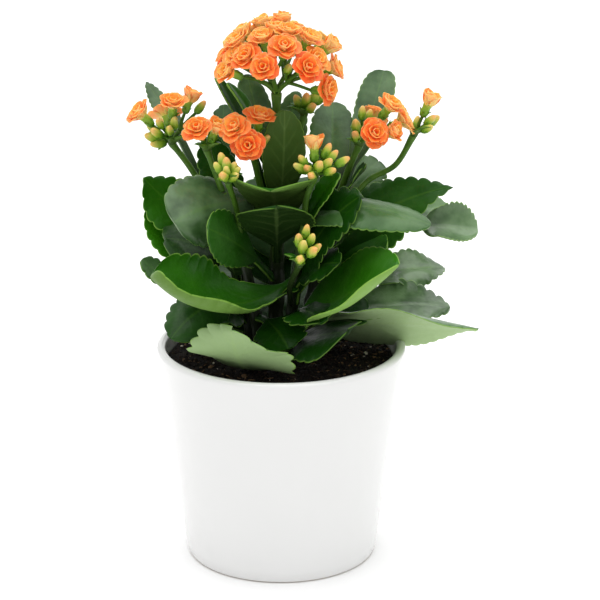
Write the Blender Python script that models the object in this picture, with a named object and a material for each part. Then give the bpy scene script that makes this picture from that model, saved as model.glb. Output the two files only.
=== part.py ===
"""Potted kalanchoe: a glazed pot of soil, five leafy shoots and ten sprays of double flowers.

The origin is the centre of the pot's foot, on the table. +Z is up and -Y is the front.
Every size below is in millimetres and every angle in degrees; MM turns them into metres.
"""

import bpy
import numpy as np
from mathutils import Vector

MM = 0.001
GAP = 0.35

# Pot: a tapered glazed cover pot with a rolled lip.
POT_HEIGHT = 115.0
POT_TOP_RADIUS = 65.0
POT_FOOT_RADIUS = 50.0
POT_WALL = 5.0
POT_FLOOR = 6.0
FOOT_EDGE = 2.0
POT_SIDES = 40

# Soil: fills the pot to a finger's width below the lip, crowned in the middle.
SOIL_EDGE = 107.0
SOIL_CROWN = 109.0
SOIL_SIDES = 28

# Leaf: a round petiole that flattens into a fleshy blade.
PETIOLE_SHARE = 0.12
PETIOLE_HALF_WIDTH = 2.1
PETIOLE_THICKNESS = 3.4
BLADE_THICKNESS = 1.5
PETIOLE_GAP = 1.1
TIP_HALF_WIDTH = 0.8
FULLNESS = 1.15
BLADE_STATIONS = (0.12, 0.3, 0.5, 0.7, 0.87, 1.0)
ACROSS = (-1.0, -0.5, 0.0, 0.5, 1.0)

# Shoots: name, the points that the stem grows through, radius at the foot and at the top.
SHOOTS = {
    "shoot_main": (((-4, 3, 83), (-3, 2, 120), (-2, 1, 160), (-2, 0, 200)), 4.6, 3.0),
    "shoot_left": (((-13, 7, 83), (-16, 8, 120), (-26, 11, 160), (-40, 14, 194)), 3.6, 2.0),
    "shoot_front_left": (((-10, -8, 83), (-12, -9, 125), (-19, -11, 165), (-29, -12, 199)), 3.4, 1.9),
    "shoot_right": (((10, 5, 83), (13, 5, 120), (20, 4, 160), (30, 2, 195)), 3.6, 2.0),
    "shoot_front": (((4, -11, 83), (5, -14, 125), (8, -20, 160), (12, -25, 186)), 3.2, 1.8),
}
SHOOT_SIDES = 8
SHOOT_RINGS = 10

# Leaves: name, shoot, height on it, place of the tip, how far the midrib's middle arches above the
# line from foot to tip, width, where along the blade it is widest, cup of the margins, roll.
LEAVES = (
    ("leaf_front_low", "shoot_front_left", 117, (-21, -49, 140), -7, 60, 0.5, -45, 0),
    ("leaf_front_left_bowl", "shoot_front_left", 142, (-64, -44, 159), -4, 64, 0.4, 38, 24),
    ("leaf_left_low", "shoot_left", 121, (-58, -28, 128), 6, 36, 0.5, 10, 15),
    ("leaf_left_edge", "shoot_left", 144, (-72, 8, 183), -7, 34, 0.6, 20, 10),
    ("leaf_left_sliver", "shoot_left", 134, (-73, 12, 155), -5, 28, 0.65, 20, 10),
    ("leaf_left_upper", "shoot_left", 169, (-71, 12, 204), -3, 36, 0.6, 10, 46),
    ("leaf_left_glossy", "shoot_front_left", 188, (-58, -31, 186), 5, 54, 0.45, -10, 48),
    ("leaf_front_upper", "shoot_main", 168, (-9, -46, 205), 11, 45, 0.6, 45, 0),
    ("leaf_front_curl", "shoot_front", 149, (-3, -50, 198), 8, 46, 0.6, 20, -15),
    ("leaf_front_centre", "shoot_front_left", 147, (-27, -54, 193), 1, 25, 0.65, 5, 0),
    ("leaf_left_mid", "shoot_left", 150, (-56, -12, 170), 4, 32, 0.55, -10, 25),
    ("leaf_centre_erect", "shoot_main", 182, (7, -11, 243), -2, 30, 0.55, 20, 0),
    ("leaf_back_right_tall", "shoot_right", 191, (54, 46, 249), 3, 32, 0.72, 35, -10),
    ("leaf_back_right", "shoot_right", 173, (53, 38, 203), 5, 30, 0.65, 10, -35),
    ("leaf_right_upper", "shoot_right", 176, (88, 0, 201), 5, 34, 0.4, 0, -36),
    ("leaf_right_arched", "shoot_right", 152, (75, -40, 179), 12, 34, 0.5, -15, -18),
    ("leaf_right_far", "shoot_right", 160, (102, 10, 178), 8, 34, 0.7, 15, -38),
    ("leaf_right_behind", "shoot_right", 165, (88, 46, 180), 6, 36, 0.65, 5, -30),
    ("leaf_right_mid", "shoot_right", 142, (54, -18, 163), 3, 28, 0.55, 5, -25),
    ("leaf_right_small", "shoot_right", 152, (62, 36, 164), 4, 24, 0.6, 5, -20),
    ("leaf_right_front", "shoot_front", 132, (58, -56, 172), -4, 50, 0.5, 25, -38),
    ("leaf_right_back_low", "shoot_right", 136, (86, 30, 153), 5, 38, 0.65, 5, -28),
    ("leaf_right_low", "shoot_right", 128, (88, 0, 141), 4, 38, 0.6, -15, -16),
    ("leaf_right_lowest", "shoot_right", 118, (101, -22, 130), 3, 38, 0.45, -10, 32),
    ("leaf_front_dark", "shoot_front_left", 130, (-3, -38, 124), 4, 30, 0.5, 5, -10),
    ("leaf_front_right_low", "shoot_front", 115, (29, -43, 134), -4, 44, 0.5, -15, 0),
    ("leaf_centre_serrated", "shoot_front", 147, (30, -46, 166), 2, 38, 0.5, 5, -50),
    ("leaf_back_left_tall", "shoot_left", 184, (-70, 52, 242), 4, 26, 0.6, 15, 20),
    ("leaf_back_left_small", "shoot_left", 172, (-26, 48, 236), 3, 26, 0.6, 10, 0),
    ("leaf_back_left_dark", "shoot_main", 187, (-18, 34, 250), 3, 24, 0.6, 10, 0),
    ("leaf_under_head_dark", "shoot_main", 176, (-38, 12, 252), 3, 18, 0.6, 15, 0),
    ("leaf_under_head_bright", "shoot_main", 197, (-28, 6, 247), 4, 16, 0.6, 10, 5),
    ("leaf_left_inner", "shoot_front_left", 168, (-38, 16, 218), 3, 22, 0.6, 10, 10),
    ("leaf_right_inner", "shoot_right", 183, (27, 42, 238), 3, 26, 0.6, 10, 0),
    ("leaf_right_inner_dark", "shoot_right", 180, (44, -17, 213), 3, 24, 0.55, 10, -15),
    ("leaf_front_bract", "shoot_front", 178, (28, -22, 214), 3, 20, 0.55, 15, -10),
    ("leaf_back_low_left", "shoot_left", 126, (-52, 60, 146), 8, 38, 0.55, 10, 0),
    ("leaf_back_low_middle", "shoot_main", 119, (-8, 68, 127), 8, 42, 0.55, 10, 0),
    ("leaf_back_low_right", "shoot_right", 124, (44, 60, 142), 8, 38, 0.55, 10, 0),
    ("leaf_back_middle_left", "shoot_left", 148, (-44, 64, 174), 8, 38, 0.55, 15, 0),
    ("leaf_back_middle", "shoot_main", 150, (10, 64, 184), 8, 40, 0.55, 15, 0),
    ("leaf_back_upper", "shoot_main", 172, (14, 38, 246), 4, 28, 0.6, 15, 0),
)

# Sprays: name, the stalk's points from its shoot up to its foot, and the florets that fan out of
# the foot. A floret is its kind, heading, tilt from upright and reach from the foot to its face.
SPRAYS = {
    "spray_top": (((-2, 0, 201), (-2, 0, 225), (-2, 0, 248)), 2.2, (
        ("flower", -176, 52, 36), ("flower", -150, 62, 35), ("flower", -128, 46, 37),
        ("flower", -102, 56, 39), ("flower", -79, 38, 40), ("flower", -24, 31, 38),
        ("flower", 20, 8, 39), ("opening", 160, 10, 37), ("flower", 148, 25, 36),
        ("opening", 180, 27, 38), ("flower", -164, 35, 38), ("bud", 168, 47, 40),
        ("flower", -57, 57, 38), ("flower", -5, 65, 36), ("flower", -28, 80, 33),
        ("opening", -4, 48, 39), ("flower", 21, 46, 39), ("flower", 98, 40, 38),
        ("flower", 66, 50, 37), ("flower", 123, 58, 35), ("flower", 45, 72, 33),
        ("bud", -64, 42, 26),
    )),
    "spray_left_back": (((-40.4, 14, 195), (-48, 15, 207), (-56, 15, 218)), 1.6, (
        ("flower", -81, 19, 28), ("opening", 5, 23, 29), ("flower", -164, 44, 27),
        ("bud", 15, 40, 29), ("bud", -128, 37, 21), ("bud", -93, 46, 19),
        ("bud", -76, 29, 19), ("bud", -133, 55, 18), ("bud", -154, 68, 17),
        ("bud", -172, 50, 19), ("bud", -147, 84, 13), ("flower", 105, 46, 22),
    )),
    "spray_left_front": (((-29.4, -12, 200), (-33, -12, 210), (-37, -10, 221)), 1.6, (
        ("flower", -112, 39, 22), ("opening", -40, 30, 17), ("bud", 37, 11, 17),
        ("bud", 115, 43, 14),
    )),
    "spray_left_centre": (((-5.8, -3, 182), (-10, -6, 200), (-14, -8, 219)), 1.7, (
        ("flower", -122, 44, 27), ("flower", -54, 18, 25), ("flower", -95, 65, 25),
        ("bud", -75, 42, 19), ("bud", -40, 46, 17), ("bud", -123, 62, 20),
    )),
    "spray_left_buds": (((-20, -15.5, 176), (-22, -24, 194), (-26, -33, 211)), 1.4, (
        ("bud", 152, 16, 16), ("bud", -99, 15, 15), ("bud", 180, 34, 13), ("bud", -94, 38, 14),
        ("bud", -105, 58, 13), ("bud", 0, 22, 12), ("bud", -17, 40, 12), ("bud", -49, 56, 11),
    )),
    "spray_centre_buds": (((12, -25.4, 187), (13, -27, 200), (17, -28, 212)), 1.6, (
        ("opening", 94, 6, 19), ("bud", -166, 34, 16), ("bud", -158, 56, 14),
        ("bud", -117, 52, 14), ("bud", -72, 45, 15), ("bud", -99, 72, 15), ("bud", -32, 44, 16),
        ("bud", -35, 66, 16), ("bud", 26, 29, 19), ("bud", 9, 42, 19), ("bud", 6, 62, 21),
    )),
    "spray_right": (((30.4, 2, 196), (35, 1, 209), (40, 0, 221)), 1.7, (
        ("flower", -67, 60, 25), ("flower", -19, 37, 31), ("flower", 0, 60, 29),
        ("opening", -34, 64, 25), ("bud", -61, 9, 23), ("bud", 25, 20, 21), ("bud", -107, 27, 18),
        ("bud", -106, 48, 15), ("flower", 50, 44, 23),
    )),
    "spray_right_far": (((32, 4, 186), (45, 12, 199), (59, 10, 208), (68, 6, 225)), 1.5, (
        ("opening", 0, 24, 22), ("bud", -15, 46, 17), ("bud", 12, 56, 17), ("bud", -28, 62, 14),
        ("bud", 55, 24, 11),
    )),
    "spray_low_buds": (((5, -21.5, 143), (5, -37, 158), (10, -52, 174)), 1.4, (
        ("bud", 0, 10, 22), ("bud", -36, 26, 21), ("bud", -100, 15, 19), ("bud", -79, 34, 18),
        ("bud", -24, 44, 18), ("bud", -60, 52, 20), ("bud", -90, 62, 17),
    )),
    "spray_top_right_buds": (((-1, 6, 192), (6, 9, 212), (12, 12, 234)), 1.5, (
        ("bud", 150, 30, 12), ("bud", -76, 24, 14), ("bud", 0, 30, 15), ("bud", 21, 50, 17),
        ("bud", -61, 56, 14),
    )),
}
STALK_SIDES = 6
# Each kind of floret: face radius, length from calyx to face, and number of sides.
FLORETS = {"flower": (8.3, 13.0, 7), "opening": (5.2, 12.0, 6), "bud": (2.6, 9.0, 5)}
PEDICEL_RADIUS = 0.9
# The knot of tissue that a spray's pedicels grow from.
HUB = 2.8
HUB_OUTLINE = ((0.5, -0.9), (0.9, -0.3), (0.9, 0.3), (0.5, 0.9))

# Colour and roughness of each material.
LOOKS = {
    "white_glaze": ((0.86, 0.86, 0.84), 0.25),
    "potting_soil": ((0.035, 0.022, 0.014), 0.95),
    "leaf_green": ((0.045, 0.16, 0.02), 0.4),
    "stem_green": ((0.12, 0.26, 0.05), 0.5),
    "orange_petals": ((0.92, 0.27, 0.06), 0.6),
}


def clear_scene():
    for obj in list(bpy.data.objects):
        bpy.data.objects.remove(obj, do_unlink=True)


def material(name):
    """The Principled material of that name, made on first use."""
    made = bpy.data.materials.get(name)
    if made is None:
        colour, roughness = LOOKS[name]
        made = bpy.data.materials.new(name)
        made.use_nodes = True
        shader = made.node_tree.nodes["Principled BSDF"]
        shader.inputs["Base Color"].default_value = (*colour, 1)
        shader.inputs["Roughness"].default_value = roughness
        shader.inputs["Metallic"].default_value = 0.0
    return made


def skinned(rings):
    """Points and faces of a closed body through rings of equally many points, capped at both ends."""
    count = len(rings[0])
    points = [tuple(p) for ring in rings for p in ring]
    faces = []
    for i in range(len(rings) - 1):
        for j in range(count):
            k = (j + 1) % count
            low, high = i * count, (i + 1) * count
            faces.append((low + j, low + k, high + k, high + j))
    faces.append(tuple(reversed(range(count))))
    faces.append(tuple(range(len(points) - count, len(points))))
    return points, faces


def add_object(name, bodies, look):
    """One object that holds the given closed bodies, with its places turned from mm to metres."""
    points, faces = [], []
    for body_points, body_faces in bodies:
        start = len(points)
        points += [tuple(c * MM for c in p) for p in body_points]
        faces += [tuple(i + start for i in face) for face in body_faces]
    mesh = bpy.data.meshes.new(name)
    mesh.from_pydata(points, [], faces)
    mesh.materials.append(material(look))
    mesh.shade_smooth()
    mesh.set_sharp_from_angle(angle=np.radians(50))
    obj = bpy.data.objects.new(name, mesh)
    bpy.context.scene.collection.objects.link(obj)
    return obj


def hide_helper(obj):
    """A cutter or a helper is drawn as wire and isn't a part of the object."""
    obj.hide_render = True
    obj.display_type = "WIRE"


def boolean(obj, helper, operation):
    """Joins or cuts obj with a helper mesh, whose own bodies may overlap each other."""
    hide_helper(helper)
    modifier = obj.modifiers.new(operation.lower(), "BOOLEAN")
    modifier.operation = operation
    modifier.object = helper
    modifier.use_self = True


def smooth_path(points, count):
    """count points, evenly spaced in parameter, on a Catmull-Rom curve through the given ones."""
    known = np.array(points, float)
    ends = (2 * known[0] - known[1], 2 * known[-1] - known[-2])
    known = np.vstack((ends[0], known, ends[1]))
    at = np.linspace(0, len(points) - 1, count)
    span = np.minimum(at.astype(int), len(points) - 2)
    t = (at - span)[:, None]
    a, b, c, d = (known[span + i] for i in range(4))
    curve = 2 * b + (c - a) * t + (2 * a - 5 * b + 4 * c - d) * t**2
    return (curve + (3 * b - a - 3 * c + d) * t**3) / 2


def across_vectors(way):
    """Two unit vectors at right angles to a direction and to each other."""
    way = Vector(way).normalized()
    side = way.orthogonal().normalized()
    return np.array(side), np.array(way.cross(side))


def ring(centre, side, up, radius, sides):
    turn = np.linspace(0, 2 * np.pi, sides, endpoint=False)[:, None]
    return centre + radius * (np.cos(turn) * side + np.sin(turn) * up)


def tube(path, radii, sides):
    """A round stem along a path, as a closed body."""
    ways = np.gradient(path, axis=0)
    side, up = across_vectors(ways[0])
    rings = []
    for centre, way, radius in zip(path, ways, radii):
        way = way / np.linalg.norm(way)
        side = side - way * (side @ way)
        side = side / np.linalg.norm(side)
        up = np.cross(way, side)
        rings.append(ring(centre, side, up, radius, sides))
    return skinned(rings)


def turned(base, way, outline, sides):
    """A closed body turned about the direction way, from an outline of (radius, distance along)."""
    way = np.array(Vector(way).normalized())
    side, up = across_vectors(way)
    rings = [ring(base + way * along, side, up, radius, sides) for radius, along in outline]
    return skinned(rings)


def lathe(name, outline, sides, look):
    """A pot-like body: an outline of (radius, height) that starts and ends on the Z axis."""
    mesh = bpy.data.meshes.new(name)
    points = [(r * MM, 0, z * MM) for r, z in outline]
    mesh.from_pydata(points, [(i, i + 1) for i in range(len(points) - 1)], [])
    mesh.materials.append(material(look))
    obj = bpy.data.objects.new(name, mesh)
    bpy.context.scene.collection.objects.link(obj)
    screw = obj.modifiers.new("turned", "SCREW")
    screw.steps = screw.render_steps = sides
    screw.use_merge_vertices = True
    screw.merge_threshold = 0.00005
    screw.use_smooth_shade = True
    return obj


def inner_radius(height):
    """The pot's bore at a height: it tapers as the outside does, one wall further in."""
    taper = (POT_TOP_RADIUS - POT_FOOT_RADIUS) / POT_HEIGHT
    return POT_FOOT_RADIUS + taper * height - POT_WALL


def make_pot():
    half = POT_WALL / 2
    lip_centre = POT_TOP_RADIUS - half
    lip_arc = np.radians((160, 120, 90, 60, 20))
    lip = [(lip_centre + half * np.cos(a), POT_HEIGHT - half + half * np.sin(a)) for a in lip_arc]
    inside = [(0, POT_FLOOR), (inner_radius(POT_FLOOR) - FOOT_EDGE, POT_FLOOR)]
    inside.append((inner_radius(POT_FLOOR + FOOT_EDGE), POT_FLOOR + FOOT_EDGE))
    outside = [(POT_FOOT_RADIUS, FOOT_EDGE), (POT_FOOT_RADIUS - FOOT_EDGE, 0), (0, 0)]
    lathe("pot", inside + lip + outside, POT_SIDES, "white_glaze")


def make_soil():
    low, edge = POT_FLOOR + GAP, SOIL_EDGE
    corner = POT_FLOOR + 2 * FOOT_EDGE
    outline = [
        (0, SOIL_CROWN),
        (25, SOIL_CROWN - 0.3),
        (45, SOIL_CROWN - 1.0),
        (inner_radius(edge) - 1.5 * GAP, edge),
        (inner_radius(corner) - 1.5 * GAP, corner),
        (inner_radius(low) - 2 * FOOT_EDGE, low),
        (0, low),
    ]
    soil = lathe("soil", outline, SOIL_SIDES, "potting_soil")
    for name, (points, foot_radius, _) in SHOOTS.items():
        path = smooth_path(points, SHOOT_RINGS)
        path[0] -= (0, 0, GAP)
        buried = path[: 1 + np.argmax(path[:, 2] > SOIL_CROWN + 3)]
        socket = tube(buried, [foot_radius + GAP] * len(buried), SHOOT_SIDES)
        boolean(soil, add_object(name + "_socket", [socket], "potting_soil"), "DIFFERENCE")


def make_shoots():
    for name, (points, foot_radius, top_radius) in SHOOTS.items():
        radii = np.linspace(foot_radius, top_radius, SHOOT_RINGS)
        body = tube(smooth_path(points, SHOOT_RINGS), radii, SHOOT_SIDES)
        add_object(name, [body], "stem_green")


def shoot_at(name, height):
    """Centre and radius of a shoot at a height."""
    points, foot_radius, top_radius = SHOOTS[name]
    path = smooth_path(points, SHOOT_RINGS)
    centre = np.array([np.interp(height, path[:, 2], path[:, axis]) for axis in range(3)])
    share = np.interp(height, path[:, 2], np.linspace(0, 1, SHOOT_RINGS))
    return centre, foot_radius + (top_radius - foot_radius) * share


def direction(heading, rise):
    heading, rise = np.radians(heading), np.radians(rise)
    level = np.cos(rise)
    return np.array((level * np.cos(heading), level * np.sin(heading), np.sin(rise)))


def unit(vector):
    return vector / np.linalg.norm(vector)


def blade_outline(u, widest):
    """The blade's width, as a share of the widest, from its foot at u 0 to its tip at u 1."""
    if not 0 < u < 1:
        return 0.0
    return (u / widest) ** (FULLNESS * widest) * ((1 - u) / (1 - widest)) ** (FULLNESS * (1 - widest))


def leaf(shoot, height, tip, arch, width, widest, cup, roll):
    """A leaf as a closed body. Its midrib is a parabola from the shoot to the tip, and each section
    across it is an arc whose ends stand at the angle cup, turned about the midrib by roll."""
    stem_centre, stem_radius = shoot_at(shoot, height)
    tip = np.array(tip, float)
    out = unit((tip - stem_centre) * (1, 1, 0))
    start = stem_centre + out * (stem_radius + PETIOLE_GAP)
    chord = unit(tip - start)
    level_side = unit(np.cross(chord, (0, 0, 1)))
    above = np.cross(level_side, chord)
    start = start + out * PETIOLE_THICKNESS / 2 * max(chord[2], 0)
    middle = (start + tip) / 2 + 2 * arch * above
    turn = np.radians(roll)
    side_start = np.cos(turn) * level_side + np.sin(turn) * above
    rings = []
    for s in (0.0, *(PETIOLE_SHARE + (1 - PETIOLE_SHARE) * u for u in (0.0, *BLADE_STATIONS))):
        place = (1 - s) ** 2 * start + 2 * s * (1 - s) * middle + s * s * tip
        way = unit((1 - s) * (middle - start) + s * (tip - middle))
        side = unit(side_start - way * (side_start @ way))
        u = max(0.0, (s - PETIOLE_SHARE) / (1 - PETIOLE_SHARE))
        half = np.hypot(PETIOLE_HALF_WIDTH * (1 - u) ** 2, width / 2 * blade_outline(u, widest))
        thick = BLADE_THICKNESS + (PETIOLE_THICKNESS - BLADE_THICKNESS) * (1 - u) ** 8
        bend = np.radians(cup) * min(1.0, 4 * u)
        rings.append(leaf_section(place, side, np.cross(side, way), max(half, TIP_HALF_WIDTH), thick, bend))
    return skinned(rings)


def leaf_section(place, side, up, half, thick, bend):
    """The ring of points round one section across a leaf: over the top, and back below."""
    top, below = [], []
    for v in ACROSS:
        if abs(bend) > 0.01:
            level, lift = half * np.sin(bend * v) / bend, half * (1 - np.cos(bend * v)) / bend
        else:
            level, lift = half * v, 0.0
        middle = place + side * level + up * lift
        normal = up * np.cos(bend * v) - side * np.sin(bend * v)
        shift = normal * thick / 2 * (1 - v * v)
        top.append(middle + shift)
        below.append(middle - shift)
    return np.array(top + below[-2:0:-1])


def make_leaves():
    for name, *shape in LEAVES:
        add_object(name, [leaf(*shape)], "leaf_green")


def floret(foot, kind, heading, tilt, reach):
    """A flower or bud with its pedicel, turned about the line from the spray's foot to its face."""
    radius, length, sides = FLORETS[kind]
    neck = max(reach - length, 1.0)
    span = reach - neck
    outline = [(PEDICEL_RADIUS, 0.0), (PEDICEL_RADIUS, neck), (2.0, neck + 0.2 * span)]
    if kind == "bud":
        outline += [(radius, neck + 0.6 * span), (0.9, reach)]
    else:
        outline += [(2.6, neck + 0.65 * span), (radius, neck + 0.82 * span), (0.8 * radius, reach)]
    return turned(foot, direction(heading, 90 - tilt), outline, sides)


def make_sprays():
    for name, (points, radius, florets) in SPRAYS.items():
        path = smooth_path(points, 2 * len(points))
        stalk = tube(path, [radius] * len(path), STALK_SIDES)
        spray = add_object(name, [stalk], "orange_petals")
        foot = np.array(points[-1], float)
        hub = turned(foot, (0, 0, 1), [(HUB * r, HUB * z) for r, z in HUB_OUTLINE], STALK_SIDES)
        bodies = [hub] + [floret(foot, *row) for row in florets]
        boolean(spray, add_object(name + "_florets", bodies, "orange_petals"), "UNION")


clear_scene()
make_pot()
make_soil()
make_shoots()
make_leaves()
make_sprays()
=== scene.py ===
import bpy
import numpy as np
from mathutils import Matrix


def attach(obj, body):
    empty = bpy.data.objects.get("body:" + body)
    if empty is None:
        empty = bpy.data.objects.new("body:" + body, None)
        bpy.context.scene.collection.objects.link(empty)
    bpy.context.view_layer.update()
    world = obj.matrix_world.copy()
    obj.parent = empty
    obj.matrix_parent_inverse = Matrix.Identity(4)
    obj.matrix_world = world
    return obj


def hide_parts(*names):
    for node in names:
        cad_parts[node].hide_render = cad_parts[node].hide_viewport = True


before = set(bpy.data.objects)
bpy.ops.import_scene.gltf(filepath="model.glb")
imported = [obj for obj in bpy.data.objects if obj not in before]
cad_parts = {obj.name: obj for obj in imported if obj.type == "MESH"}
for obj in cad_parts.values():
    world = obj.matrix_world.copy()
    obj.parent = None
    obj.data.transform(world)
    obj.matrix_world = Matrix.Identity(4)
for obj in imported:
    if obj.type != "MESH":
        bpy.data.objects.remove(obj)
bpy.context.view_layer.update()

# --------------------------------------
# Pot: a tapered cover pot of slip-cast stoneware with a rolled lip, dipped in a glossy white
# glaze. The glaze is wiped off the foot ring that it stands on.

# Shapes are worked out in millimetres, and MM turns them into the frame's metres.
MM = 0.001
TAU = 2 * np.pi


class Socket:
    """An output of a shader node. Arithmetic on it adds Math nodes to its finish."""

    def __init__(self, finish, link):
        self.finish = finish
        self.link = link

    def math(self, operation, *others):
        """operation on this value and the others."""
        return self.finish.math(operation, self, *others)

    def __add__(self, other):
        return self.math("ADD", other)

    def __sub__(self, other):
        return self.math("SUBTRACT", other)

    def __rsub__(self, other):
        return self.finish.math("SUBTRACT", other, self)

    def __mul__(self, other):
        return self.math("MULTIPLY", other)

    def __pow__(self, other):
        return self.math("POWER", other)

    __radd__ = __add__
    __rmul__ = __mul__


class Finish:
    """A material whose Principled shader takes its plain values from constants."""

    def __init__(self, name, **constants):
        self.material = bpy.data.materials.new(name)
        self.material.use_nodes = True
        self.tree = self.material.node_tree
        self.shader = self.tree.nodes["Principled BSDF"]
        self.feed(**constants)

    def node(self, kind, settings, sockets, output=0):
        """Adds a node: its settings first, then the value or the link of each named socket."""
        made = self.tree.nodes.new("ShaderNode" + kind)
        for name, value in settings.items():
            if name == "stops":
                self.set_stops(made.color_ramp, value)
            else:
                setattr(made, name, value)
        for name, value in sockets.items():
            self.connect(next(s for s in made.inputs if name in (s.identifier, s.name)), value)
        if isinstance(output, str):
            return Socket(self, next(s for s in made.outputs if output in (s.identifier, s.name)))
        return Socket(self, made.outputs[output])

    def set_stops(self, ramp, stops):
        """Gives a colour ramp its (place, colour) stops."""
        ramp.elements[0].position, ramp.elements[-1].position = 0.0, 1.0
        while len(ramp.elements) < len(stops):
            ramp.elements.new(0.5)
        for element, (place, colour) in zip(ramp.elements, stops):
            element.position = place
            element.color = (*colour, 1)

    def connect(self, socket, value):
        """Gives a socket a link, a colour or a number."""
        if isinstance(value, Socket):
            self.tree.links.new(value.link, socket)
        elif isinstance(value, tuple) and len(value) == 3 and socket.type == "RGBA":
            socket.default_value = (*value, 1)
        else:
            socket.default_value = value

    def math(self, operation, first, second=0.0):
        """operation on one or two values."""
        return self.node("Math", {"operation": operation}, {"Value": first, "Value_001": second})

    def step(self, value, low, high):
        """0 where value is under low, 1 where it is over high, and smooth between."""
        sockets = {"Value": value, "From Min": low, "From Max": high}
        return self.node("MapRange", {"interpolation_type": "SMOOTHSTEP"}, sockets)

    def mix(self, factor, first, second):
        """The first colour, with the second over it by factor."""
        sockets = {"Factor_Float": factor, "A_Color": first, "B_Color": second}
        return self.node("Mix", {"data_type": "RGBA"}, sockets, "Result_Color")

    def mark(self, name):
        """A value that the piece's mesh carries at each point."""
        return self.node("Attribute", {"attribute_name": name}, {}, "Fac")

    def place(self):
        """Where a point is on the object, in metres."""
        return self.node("TexCoord", {}, {}, "Object")

    def noise(self, scale, detail, roughness=0.5):
        """Cloudy values about 0.5, scale clouds to a metre."""
        sockets = {"Vector": self.place(), "Scale": scale, "Detail": detail, "Roughness": roughness}
        return self.node("TexNoise", {}, sockets)

    def bump(self, height, depth):
        """The normal of a surface whose height varies by depth, in metres."""
        return self.node("Bump", {}, {"Height": height, "Distance": depth})

    def feed(self, **links):
        """Gives the shader's sockets of those names their links or plain values."""
        for socket, value in links.items():
            self.connect(self.shader.inputs[socket.replace("_", " ")], value)


def tone(red, green, blue):
    """A colour of 0 to 255 steps, as a screen shows it, in linear light."""
    share = np.array((red, green, blue)) / 255
    linear = np.where(share > 0.04045, ((share + 0.055) / 1.055) ** 2.4, share / 12.92)
    return tuple(float(c) for c in linear)


def ring_faces(rings, around):
    """Quads between neighbouring rings of points, which are numbered ring by ring, and a face
    over each end ring. The rings turn anticlockwise as seen from the last one."""
    low = np.arange(rings - 1)[:, None] * around + np.arange(around)
    beside = np.arange(rings - 1)[:, None] * around + (np.arange(around) + 1) % around
    quads = np.stack((low, beside, beside + around, low + around), -1).reshape(-1, 4).tolist()
    ends = list(range(around))[::-1], list(range((rings - 1) * around, rings * around))
    return [*quads, *ends]


def placed(name, data):
    """An object of that mesh, lamp or camera, in the scene."""
    made = bpy.data.objects.new(name, data)
    bpy.context.scene.collection.objects.link(made)
    return made


def add_piece(name, points, faces, finish, **marks):
    """A smooth mesh piece of the points, in metres, that carries each of marks at its points."""
    mesh = bpy.data.meshes.new(name)
    mesh.from_pydata(np.asarray(points).reshape(-1, 3).tolist(), [], faces)
    for mark, values in marks.items():
        layer = mesh.attributes.new(mark, "FLOAT", "POINT")
        layer.data.foreach_set("value", np.asarray(values, np.float32).ravel())
    mesh.materials.append(finish.material)
    mesh.shade_smooth()
    piece = placed(name, mesh)
    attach(piece, "root")
    return piece


POT_HEIGHT = 115.0
POT_TOP = 65.0
POT_FOOT = 50.0
POT_WALL = 5.0
POT_FLOOR = 6.0
FOOT_EDGE = 2.0
FOOT_HOLLOW = 1.2
FOOT_WIDTH = 4.5
FOOT_SLOPE = 1.0
LIP_DEPTH = 6.0
LIP_STAND_OUT = 0.25
# Radius of the ring round the middle of a surface, which a small cap closes.
MIDDLE = 0.3
POT_SIDES = 192


def arc(centre, radius, start, end, count):
    """count points (radius, height) on a circle's arc from one angle to another, in degrees."""
    turn = np.radians(np.linspace(start, end, count))
    return np.column_stack((centre[0] + radius * np.cos(turn), centre[1] + radius * np.sin(turn)))


def turned(outline, sides):
    """Rings (r cos t, r sin t, z) of a turned surface, for each (r, z) of the outline."""
    turn = np.arange(sides) / sides * TAU
    radius, height = outline[:, :1], outline[:, 1:]
    round_points = (radius * np.cos(turn), radius * np.sin(turn), height + 0 * turn)
    return np.stack(round_points, -1)


def pot_outline():
    """From the middle of the floor inside, up the bore, over the lip, down and under the foot."""
    lip = POT_WALL / 2
    taper = (POT_TOP - POT_FOOT) / POT_HEIGHT
    bore_foot = POT_FOOT - POT_WALL + taper * POT_FLOOR
    foot_inside = POT_FOOT - FOOT_WIDTH
    below_lip = (POT_TOP - LIP_STAND_OUT, POT_HEIGHT - LIP_DEPTH)
    return np.vstack((
        [(MIDDLE, POT_FLOOR)],
        arc((bore_foot - FOOT_EDGE, POT_FLOOR + FOOT_EDGE), FOOT_EDGE, -90, -10, 6),
        arc((POT_TOP - lip, POT_HEIGHT - lip), lip, 178, -6, 22),
        np.linspace(below_lip, (POT_FOOT + taper * FOOT_EDGE, FOOT_EDGE), 24),
        arc((POT_FOOT - FOOT_EDGE, FOOT_EDGE), FOOT_EDGE, -12, -90, 7),
        [(foot_inside, 0), (foot_inside - FOOT_SLOPE, FOOT_HOLLOW), (MIDDLE, FOOT_HOLLOW)],
    ))


def glaze_finish():
    """White glaze with a faint orange-peel wave, over stoneware that shows on the foot ring."""
    glaze = Finish("white_glaze", IOR=1.5, Coat_Weight=0.5, Coat_Roughness=0.06)
    height = glaze.node("SeparateXYZ", {}, {"Vector": glaze.place()}, "Z")
    bare = 1 - glaze.step(height, 0.4 * MM, 0.9 * MM)
    cloud = glaze.noise(14, detail=2)
    white = glaze.mix(cloud, tone(224, 224, 223), tone(230, 230, 229))
    glaze.feed(
        Base_Color=glaze.mix(bare, white, tone(214, 206, 194)),
        Roughness=glaze.noise(60, detail=2) * 0.08 + 0.2 + bare * 0.5,
        Normal=glaze.bump(glaze.noise(90, detail=1), 0.12 * MM),
    )
    return glaze


pot_rings = turned(pot_outline(), POT_SIDES)[::-1]
pot = add_piece("glazed_pot", pot_rings * MM, ring_faces(len(pot_rings), POT_SIDES), glaze_finish())
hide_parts("pot")


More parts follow.
